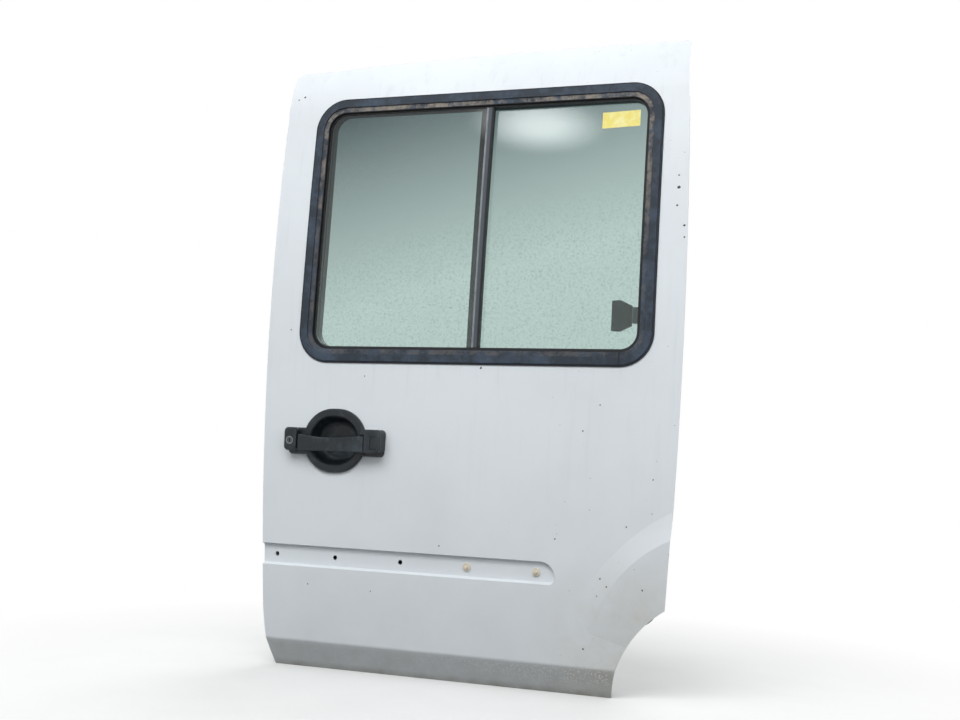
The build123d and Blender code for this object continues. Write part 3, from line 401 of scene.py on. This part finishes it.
def makeNylon(name):
    fresh, aged = nylonLooks[name]
    made, tree, shader, place = startMaterial(name, {"IOR": 1.53, "Roughness": 0.42})
    cloud = patches(tree, place, nylonSkin["cloudMm"], 0.4, 0.7)
    tone = add(tree, "Mix", {0: cloud, 6: linear(fresh), 7: linear(aged)}, 2, data_type="RGBA")
    tree.links.new(tone, shader.inputs["Base Color"])
    fine = add(tree, "TexNoise", {"Vector": place, "Scale": perMetre(nylonSkin["textureMm"])})
    relief(tree, shader, fine, 0.2, 0.0003, 0.0008)
    return made


# Black dip coat on pressed plate: satin black that pools smooth, rubbed to grey in places
dipLook = {"coat": "#232527", "worn": "#4d4d4c", "wearMm": 30.0, "poolMm": 12.0}


def makeDipCoat():
    made, tree, shader, place = startMaterial("black dip coated steel", {"IOR": 1.5})
    worn = patches(tree, place, dipLook["wearMm"], 0.6, 0.72, 0.0, 0.8, 6.0, 0.75)
    shades = {0: worn, 6: linear(dipLook["coat"]), 7: linear(dipLook["worn"])}
    tone = add(tree, "Mix", shades, 2, data_type="RGBA")
    tree.links.new(tone, shader.inputs["Base Color"])
    pools = add(tree, "TexNoise", {"Vector": place, "Scale": perMetre(dipLook["poolMm"]), "Detail": 3.0})
    rough = add(tree, "MapRange", {0: pools, 1: 0.3, 2: 0.7, 3: 0.3, 4: 0.5})
    tree.links.new(rough, shader.inputs["Roughness"])
    relief(tree, shader, pools, 0.2, 0.0005, 0.001)
    return made


# Coated tag paper, calendered: pale warm yellow, bleached in patches by the sun, matt. Its fibres are drawn
# at 3 mm so that they show
tagLook = {
    "yellow": "#eee07a", "bleached": "#f7f1b4", "fadeMm": 14.0, "fibreMm": 3.0,
    "x": 262, "z": 1112, "width": 77, "height": 33,
}


def makeTagPaper():
    look = tagLook
    made, tree, shader, place = startMaterial("coated tag paper", {"IOR": 1.45, "Specular IOR Level": 0.3})
    fade = patches(tree, place, look["fadeMm"], 0.4, 0.7)
    shades = {0: fade, 6: linear(look["yellow"]), 7: linear(look["bleached"])}
    tone = add(tree, "Mix", shades, 2, data_type="RGBA")
    tree.links.new(tone, shader.inputs["Base Color"])
    tree.links.new(add(tree, "MapRange", {0: fade, 3: 0.5, 4: 0.7}), shader.inputs["Roughness"])
    fibres = add(tree, "TexNoise", {"Vector": place, "Scale": perMetre(look["fibreMm"])})
    relief(tree, shader, fibres, 0.15, 0.0002)
    return made


paint = makePaint()
gasketRubber = makeRubber("weathered rubber", 0.75, 0.9)
sealRubber = makeRubber("sheltered rubber", 0.15, 0.1)
divisionStrip = makeDivision()
glass = makeGlass()
blackPlastic = makePlastic("grained black ABS")
framePlastic = makePlastic("black frame nylon")
greyPlastic = makePlastic("grained grey polypropylene")
zinc = makeZinc("zinc plated steel")
ringZinc = makeZinc("tumbled zinc casting")
dullZinc = makeZinc("dulled zinc casting")
clipNylon = makeNylon("aged nylon")
rollerNylon = makeNylon("black nylon")
dipCoat = makeDipCoat()
tagPaper = makeTagPaper()
finishes = {
    "white_paint": paint, "gasket_rubber": gasketRubber, "frame_plastic": framePlastic, "tinted_glass": glass,
    "black_plastic": blackPlastic, "grey_plastic": greyPlastic, "clip_nylon": clipNylon,
    "plated_steel": zinc, "coated_steel": dipCoat, "roller_nylon": rollerNylon,
}
ownFinish = {
    "division_seal": divisionStrip, "rear_glass_seal": sealRubber, "lower_buffer": sealRubber,
    "upper_buffer": sealRubber, "lock_barrel": dullZinc, "lock_ring": ringZinc,
}
for subpart in frame["record"]["subparts"]:
    mesh = nodes[subpart["node"]].data
    mesh.materials.clear()
    mesh.materials.append(ownFinish.get(subpart["node"], finishes[subpart["material_slot"]]))
print("materials on", len(nodes), "nodes")


def addPiece(name, build, finish, body, bevelMm=0.0):
    shape = bmesh.new()
    build(shape)
    bmesh.ops.recalc_face_normals(shape, faces=shape.faces)
    mesh = bpy.data.meshes.new(name)
    shape.to_mesh(mesh)
    shape.free()
    mesh.materials.append(finish)
    piece = bpy.data.objects.new(name, mesh)
    scene.collection.objects.link(piece)
    if bevelMm:
        bevel = piece.modifiers.new("soft edges", "BEVEL")
        bevel.width, bevel.segments, bevel.limit_method = bevelMm / 1000, 3, "ANGLE"
    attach(piece, body)
    return piece


def turned(shape, centre, axis, profile, sides=24):  # closed rings of (radius, height) in mm
    axis = Vector(axis)
    side = axis.orthogonal().normalized()
    other = axis.cross(side)
    rings = []
    for radius, height in profile:
        ring = []
        for step in range(sides):
            angle = 2 * math.pi * step / sides
            spoke = side * math.cos(angle) + other * math.sin(angle)
            ring.append(shape.verts.new(centre + axis * (height / 1000) + spoke * (radius / 1000)))
        rings.append(ring)
    for lower, upper in zip(rings, rings[1:]):
        for step in range(sides):
            after = (step + 1) % sides
            shape.faces.new([lower[step], lower[after], upper[after], upper[step]])
    shape.faces.new(list(reversed(rings[0])))
    shape.faces.new(rings[-1])


def extruded(shape, outline, offset):  # closed prism from a list of points and the way across it
    front = [shape.verts.new(point) for point in outline]
    back = [shape.verts.new(point + offset) for point in outline]
    shape.faces.new(front)
    shape.faces.new(list(reversed(back)))
    for step in range(len(outline)):
        after = (step + 1) % len(outline)
        shape.faces.new([front[step], back[step], back[after], front[after]])


# Blank tag on the rear pane, its upper front corner curling
def buildTag(shape):
    columns, rows = 20, 8
    grid = []
    for row in range(rows + 1):
        for column in range(columns + 1):
            x = tagLook["x"] + tagLook["width"] * column / columns
            z = tagLook["z"] + tagLook["height"] * row / rows + 2.5 * column / columns
            lift = 3.0 * max(0.0, 0.3 - column / columns) * max(0.0, row / rows - 0.4)
            grid.append(shape.verts.new(doorPoint(x, skinDepth(z) + 14.6 - lift, z)))
    wide = columns + 1
    for row in range(rows):
        for column in range(columns):
            at = row * wide + column
            shape.faces.new([grid[at], grid[at + 1], grid[at + 1 + wide], grid[at + wide]])


addPiece("window_tag", buildTag, tagPaper, "door")

# Window latch: the tapered paddle with finger ribs, in place of its plain solid
latchLook = {
    "left": 300, "bend": 317, "right": 340, "low": 702, "high": 764, "taper": 11,
    "front": 19.4, "back": 30.0, "ribs": 4,
}


def buildLatch(shape):
    look = latchLook
    low, high, taper = look["low"], look["high"], look["taper"]
    corners = ((look["left"], low + 1), (look["bend"], low), (look["right"], low + taper),
               (look["right"], high - taper), (look["bend"], high), (look["left"], high - 1))
    across = Vector((0.0, (look["back"] - look["front"]) / 1000, 0.0))
    extruded(shape, [doorPoint(x, skinDepth(z) + look["front"], z) for x, z in corners], across)
    for rib in range(look["ribs"]):
        x = look["left"] + 5 + 6 * rib
        outline = [(x, 714 + rib), (x + 2.4, 714 + rib), (x + 2.4, 750 - rib), (x, 750 - rib)]
        points = [doorPoint(a, skinDepth(z) + look["back"] - 0.5, z) for a, z in outline]
        extruded(shape, points, Vector((0.0, 0.0022, 0.0)))


latch = addPiece("window_latch_paddle", buildLatch, blackPlastic, "door", 1.2)
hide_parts("window_latch")

# Flanged hexagon bolts through the three arm flanges
boltLook = {
    "places": [  # door x, y of the flange face, z, across the flats over two
        (-369, 97.2, 76, 5.0), (-369, 97.2, 102, 5.0), (-291, 97.2, 76, 5.0), (-291, 97.2, 102, 5.0),
        (-391, 113.2, 1233.5, 4.0), (-353, 113.2, 1233.5, 4.0), (332, 97.2, 553, 5.0), (380, 97.2, 553, 5.0),
    ],
    "flange": 1.35, "head": 0.9,
}


def buildBolts(shape):
    for x, y, z, flat in boltLook["places"]:
        rim = flat * boltLook["flange"]
        centre = doorPoint(x, y, z)
        turned(shape, centre, (0, 1, 0), [(rim, 0.0), (rim, 0.8), (rim * 0.92, 1.3), (flat * 1.1, 1.7)])
        tall = flat * boltLook["head"]
        hexagon = [(flat * 1.15, 1.0), (flat * 1.15, tall), (flat * 0.95, tall + 0.9)]
        turned(shape, centre, (0, 1, 0), hexagon, 6)


addPiece("arm_bolts", buildBolts, zinc, "door")

# Push buttons that hold the trim round its edge
buttonLook = {
    "face": 96.4, "radius": 8.0,
    "places": [(-320, 143), (-160, 143), (0, 143), (160, 143), (320, 143), (-320, 573), (-160, 573), (0, 573),
               (160, 573), (-377, 300), (-377, 430), (381, 250), (381, 400)],
}


def buildButtons(shape):
    rim = buttonLook["radius"]
    profile = [(rim, 0.0), (rim, 0.7), (rim * 0.85, 1.7)]
    profile += [(rim * 0.5, 2.2), (rim * 0.3, 2.2), (rim * 0.25, 1.6)]
    for x, z in buttonLook["places"]:
        centre = doorPoint(x, buttonLook["face"], z)
        turned(shape, centre, (0, 1, 0), profile)


addPiece("trim_buttons", buildButtons, greyPlastic, "door")

# Edge latches: the forked claw in the slot and low-headed screws on the face
claspLook = {
    "faces": ((-420, -1), (422, 1)), "z": 452,  # door x of each latch face and the way it looks
    "screws": ((66, 33), (66, -33), (42, 33)),  # door y, and z from the latch's middle
}


def buildClaws(shape):
    for x, way in claspLook["faces"]:
        hook = []
        for step in range(13):  # outer curve of the hook, then its inner curve
            angle = math.radians(-30 + 240 * step / 12)
            hook.append((44 + 9.5 * math.cos(angle), claspLook["z"] + 5.6 * math.sin(angle)))
        for step in range(13):
            angle = math.radians(210 - 240 * step / 12)
            hook.append((43 + 5.5 * math.cos(angle), claspLook["z"] + 2.6 * math.sin(angle)))
        extruded(shape, [doorPoint(x - way * 4.5, y, z) for y, z in hook], Vector((way * 0.004, 0.0, 0.0)))


def buildScrews(shape):
    for x, way in claspLook["faces"]:
        for y, z in claspLook["screws"]:
            centre = doorPoint(x, y, claspLook["z"] + z)
            turned(shape, centre, (way, 0, 0), [(5.0, -0.2), (5.0, 0.3), (4.0, 0.9), (2.4, 1.0), (2.2, 0.2)])


addPiece("latch_claws", buildClaws, dullZinc, "door", 0.6)
addPiece("latch_screws", buildScrews, dullZinc, "door")
print("fittings placed")

# Studio: pale floor that keeps the shadow and fades to white, soft lamps, a sky card for the glass and a
# camera at the photo's angle
studio = {
    "floorSize": 9.0, "floor": "#e9eaea", "paleTone": "#eeefef", "scuffMm": 300.0,
    "bounce": "#5c5d5d", "sky": 0.58, "ground": 0.07,
    "lamps": [  # name, place, aim, size, watts
        ("key", (0.15, -2.3, 2.7), (0.3, -0.15, 0.7), (3.0, 1.5), 67),
        ("fill", (2.6, -2.4, 1.3), (0.33, -0.15, 0.5), (1.4, 1.6), 12),
        ("back", (0.6, 2.4, 2.6), (0.33, -0.05, 0.5), (2.4, 1.6), 40),
    ],
    "card": (-0.36, -2.43, 2.26), "cardAim": (0.46, -0.089, 1.066), "cardSize": (0.62, 0.34), "cardGlow": 9.0,
    "camera": (1.263, -2.583, 0.411), "yaw": 20.11, "pitch": 3.74, "roll": 2.2, "focalPixels": 1303,
}


def facing(place, aim):
    return (Vector(aim) - Vector(place)).to_track_quat("-Z", "Y").to_euler()


def stageSheet(name, place, turn, size, made):  # a plain rectangle of the studio
    wide, deep = size[0] / 2, size[1] / 2
    mesh = bpy.data.meshes.new(name)
    corners = [(-wide, -deep, 0), (wide, -deep, 0), (wide, deep, 0), (-wide, deep, 0)]
    mesh.from_pydata(corners, [], [(0, 1, 2, 3)])
    mesh.materials.append(made)
    sheet = bpy.data.objects.new(name, mesh)
    sheet.location, sheet.rotation_euler = place, turn
    scene.collection.objects.link(sheet)
    return sheet


def seenDirectly(tree):  # 1 for camera, glossy and transmission rays
    path = add(tree, "LightPath", None, None).outputs
    seen = add(tree, "Math", {0: path["Is Camera Ray"], 1: path["Is Glossy Ray"]}, operation="MAXIMUM")
    return add(tree, "Math", {0: seen, 1: path["Is Transmission Ray"]}, operation="MAXIMUM")


def makeFloor():
    made, tree = emptyMaterial("pale studio floor")
    place = add(tree, "TexCoord", out="Object")
    seen = seenDirectly(tree)
    away = add(tree, "VectorMath", {0: place}, "Value", operation="LENGTH")
    fade = add(tree, "MapRange", {0: away, 1: 0.5, 2: 1.3})
    fade = add(tree, "Math", {0: fade, 1: seen}, operation="MULTIPLY")
    scuffs = patches(tree, place, studio["scuffMm"], 0.3, 0.7)
    shades = {0: scuffs, 6: linear(studio["floor"]), 7: linear(studio["paleTone"])}
    tone = add(tree, "Mix", shades, 2, data_type="RGBA")
    tone = add(tree, "Mix", {0: seen, 6: linear(studio["bounce"]), 7: tone}, 2, data_type="RGBA")
    matt = add(tree, "BsdfDiffuse", {"Color": tone})
    white = add(tree, "Emission", {"Color": (1, 1, 1, 1), "Strength": 1.0})
    add(tree, "OutputMaterial", {"Surface": add(tree, "MixShader", {0: fade, 1: matt, 2: white})}, None)
    stageSheet("floor", (0.33, -0.1, -0.0605), (0, 0, 0), (studio["floorSize"], studio["floorSize"]), made)


def makeCard():
    made, tree = emptyMaterial("sky card")
    place = add(tree, "TexCoord", out="Object")
    share = (1 / studio["cardSize"][0], 1 / studio["cardSize"][1], 0.0)
    out = add(tree, "VectorMath", {0: place, 1: share}, operation="MULTIPLY")
    out = add(tree, "VectorMath", {0: out}, "Value", operation="LENGTH")
    fading = {0: out, 1: 0.5, 2: 0.05, 3: 0.0, 4: studio["cardGlow"]}
    glow = add(tree, "MapRange", fading, interpolation_type="SMOOTHSTEP")
    clear, bright = add(tree, "BsdfTransparent"), add(tree, "Emission", {"Strength": glow})
    light = add(tree, "AddShader", {0: clear, 1: bright})
    add(tree, "OutputMaterial", {"Surface": light}, None)
    turn = facing(studio["card"], studio["cardAim"])
    card = stageSheet("sky_card", studio["card"], turn, studio["cardSize"], made)
    card.visible_camera = False
    card.visible_diffuse = False


def makeWorld():
    world = bpy.data.worlds.new("studio")
    world.use_nodes = True
    scene.world = world
    tree = world.node_tree
    tree.nodes.clear()
    aim = add(tree, "SeparateXYZ", {0: add(tree, "TexCoord", out="Generated")}, 2)
    light = add(tree, "MapRange", {0: aim, 1: -0.1, 2: 0.25, 3: studio["ground"], 4: studio["sky"]})
    strength = add(tree, "Mix", {0: seenDirectly(tree), 2: light, 3: 1.0})
    back = add(tree, "Background", {"Color": (1, 1, 1, 1), "Strength": strength})
    add(tree, "OutputWorld", {"Surface": back}, None)


def makeLamps():
    for name, place, aim, size, watts in studio["lamps"]:
        lamp = bpy.data.lights.new(name, "AREA")
        lamp.shape = "RECTANGLE"
        lamp.size, lamp.size_y = size
        lamp.energy = watts
        lampObject = bpy.data.objects.new(name, lamp)
        lampObject.location, lampObject.rotation_euler = place, facing(place, aim)
        lampObject.visible_glossy = name != "key"  # no hard rectangle in the panes
        lampObject.visible_transmission = False  # nor one through them
        scene.collection.objects.link(lampObject)


def makeCamera():
    yaw, pitch, roll = (math.radians(studio[name]) for name in ("yaw", "pitch", "roll"))
    ahead = Vector((-math.sin(yaw) * math.cos(pitch), math.cos(yaw) * math.cos(pitch), math.sin(pitch)))
    level = Vector((math.cos(yaw), math.sin(yaw), 0.0))
    upright = level.cross(ahead)
    right = math.cos(roll) * level + math.sin(roll) * upright
    up = math.cos(roll) * upright - math.sin(roll) * level
    camera = bpy.data.cameras.new("photo camera")
    camera.sensor_width = 36.0
    camera.lens = studio["focalPixels"] * 36.0 / 960
    cameraObject = bpy.data.objects.new("photo camera", camera)
    turn = Matrix((right, up, -ahead)).transposed().to_4x4()
    cameraObject.matrix_world = Matrix.Translation(studio["camera"]) @ turn
    scene.collection.objects.link(cameraObject)
    scene.camera = cameraObject


makeFloor()
makeCard()
makeWorld()
makeLamps()
makeCamera()
print("studio ready")
